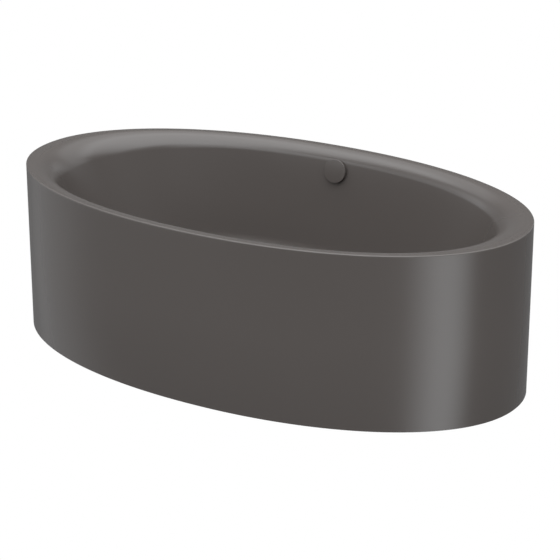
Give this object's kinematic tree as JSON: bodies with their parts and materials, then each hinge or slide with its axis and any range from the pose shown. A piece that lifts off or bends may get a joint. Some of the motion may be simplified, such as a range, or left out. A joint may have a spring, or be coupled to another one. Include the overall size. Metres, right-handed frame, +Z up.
{
  "type": "freestanding bathtub",
  "caption": "Oval freestanding bath with a vertical skirt, a soft rolled rim and two sloping backrests, on a levelling frame with a knob-operated pop-up waste and overflow.",
  "frame": {"origin": "on the floor, under the centre of the bath", "axes": "+X along the bath, +Y to the long side with the overflow, +Z up"},
  "size_m": [1.79, 1, 0.57],
  "materials": {
    "enamel": "satin enamel, warm dark grey",
    "primed_steel": "matt primer",
    "zinc_steel": "galvanised",
    "stainless": "brushed",
    "chrome": "polished",
    "brass": "turned",
    "rubber": "matt",
    "cable_sheath": "matt",
    "damping_mat": "bitumen",
    "black_plastic": "moulded",
    "grey_plastic": "moulded",
    "white_plastic": "moulded",
    "hose_plastic": "moulded"
  },
  "bodies": {
    "bath": {"bath_shell": "enamel", "skirt": "enamel", "joint_band": "primed_steel", "skirt_base_ring": "primed_steel", "cross_bar_left": "zinc_steel", "cross_bar_right": "zinc_steel", "rail_front": "zinc_steel", "rail_back": "zinc_steel", "tube_end_caps": "black_plastic", "rail_bolts": "zinc_steel", "saddle_plates": "zinc_steel", "cradle_pads": "rubber", "floor_mats": "damping_mat", "backrest_mats": "damping_mat", "skirt_brackets": "zinc_steel", "bracket_bolts": "zinc_steel", "earth_lug": "zinc_steel", "foot_washers": "zinc_steel", "waste_flange": "chrome", "flange_seal": "rubber", "body_seal": "rubber", "waste_body": "grey_plastic", "lever_axle": "brass", "trap_body": "grey_plastic", "tail_nut": "white_plastic", "outlet_spigot": "grey_plastic", "outlet_nut": "white_plastic", "overflow_flange": "chrome", "overflow_gasket": "rubber", "overflow_housing": "grey_plastic", "overflow_screws": "stainless", "overflow_hose": "hose_plastic", "hose_nut_upper": "white_plastic", "hose_nut_lower": "white_plastic", "control_cable": "cable_sheath", "cable_clips": "white_plastic"},
    "knob": {"overflow_knob": "enamel", "knob_spindle": "brass", "cable_drum": "white_plastic"},
    "plug_carrier": {"plug_lifter": "brass"},
    "plug": {"drain_plug": "enamel", "plug_seal": "rubber", "plug_stem": "brass"},
    "lever": {"lift_lever": "stainless"},
    "foot_front_left": {"foot_pad_front_left": "black_plastic", "foot_stud_front_left": "zinc_steel"},
    "nuts_front_left": {"adjusting_nut_front_left": "zinc_steel", "lock_nut_front_left": "zinc_steel"},
    "foot_front_right": {"foot_pad_front_right": "black_plastic", "foot_stud_front_right": "zinc_steel"},
    "nuts_front_right": {"adjusting_nut_front_right": "zinc_steel", "lock_nut_front_right": "zinc_steel"},
    "foot_back_left": {"foot_pad_back_left": "black_plastic", "foot_stud_back_left": "zinc_steel"},
    "nuts_back_left": {"adjusting_nut_back_left": "zinc_steel", "lock_nut_back_left": "zinc_steel"},
    "foot_back_right": {"foot_pad_back_right": "black_plastic", "foot_stud_back_right": "zinc_steel"},
    "nuts_back_right": {"adjusting_nut_back_right": "zinc_steel", "lock_nut_back_right": "zinc_steel"}
  },
  "joints": [
    {"name": "knob_turn", "type": "hinge", "parent": "bath", "child": "knob", "pos_m": [0, 0.42923, 0.503], "axis": [0, -0.9848, 0.1736], "range_deg": [0, 90]},
    {"name": "plug_lift", "type": "slide", "parent": "bath", "child": "plug_carrier", "axis": [0, 0, 1], "range_m": [0, 0.0121]},
    {"name": "lever_turn", "type": "hinge", "parent": "bath", "child": "lever", "pos_m": [0.01131, 0.01131, 0.097], "axis": [-0.7071, 0.7071, 0], "range_deg": [0, 43.1]},
    {"name": "plug_pull", "type": "slide", "parent": "plug_carrier", "child": "plug", "axis": [0, 0, 1], "range_m": [0, 0.06]},
    {"name": "foot_front_left_height", "type": "slide", "parent": "bath", "child": "foot_front_left", "axis": [0, 0, -1], "range_m": [-0.005, 0.015]},
    {"name": "nuts_front_left_turn", "type": "hinge", "parent": "bath", "child": "nuts_front_left", "pos_m": [-0.4, -0.29, 0.052], "axis": [0, 0, 1], "range_deg": [-1030, 3087]},
    {"name": "foot_front_right_height", "type": "slide", "parent": "bath", "child": "foot_front_right", "axis": [0, 0, -1], "range_m": [-0.005, 0.015]},
    {"name": "nuts_front_right_turn", "type": "hinge", "parent": "bath", "child": "nuts_front_right", "pos_m": [0.4, -0.29, 0.052], "axis": [0, 0, 1], "range_deg": [-1030, 3087]},
    {"name": "foot_back_left_height", "type": "slide", "parent": "bath", "child": "foot_back_left", "axis": [0, 0, -1], "range_m": [-0.005, 0.015]},
    {"name": "nuts_back_left_turn", "type": "hinge", "parent": "bath", "child": "nuts_back_left", "pos_m": [-0.4, 0.29, 0.052], "axis": [0, 0, 1], "range_deg": [-1030, 3087]},
    {"name": "foot_back_right_height", "type": "slide", "parent": "bath", "child": "foot_back_right", "axis": [0, 0, -1], "range_m": [-0.005, 0.015]},
    {"name": "nuts_back_right_turn", "type": "hinge", "parent": "bath", "child": "nuts_back_right", "pos_m": [0.4, 0.29, 0.052], "axis": [0, 0, 1], "range_deg": [-1030, 3087]}
  ],
  "couplings": [
    {"joint": "plug_lift", "follows": "knob_turn", "m_per_rad": 0.0076394},
    {"joint": "lever_turn", "follows": "knob_turn", "ratio": 0.47746},
    {"joint": "nuts_front_left_turn", "follows": "foot_front_left_height", "rad_per_m": 3590.4},
    {"joint": "nuts_front_right_turn", "follows": "foot_front_right_height", "rad_per_m": 3590.4},
    {"joint": "nuts_back_left_turn", "follows": "foot_back_left_height", "rad_per_m": 3590.4},
    {"joint": "nuts_back_right_turn", "follows": "foot_back_right_height", "rad_per_m": 3590.4}
  ]
}
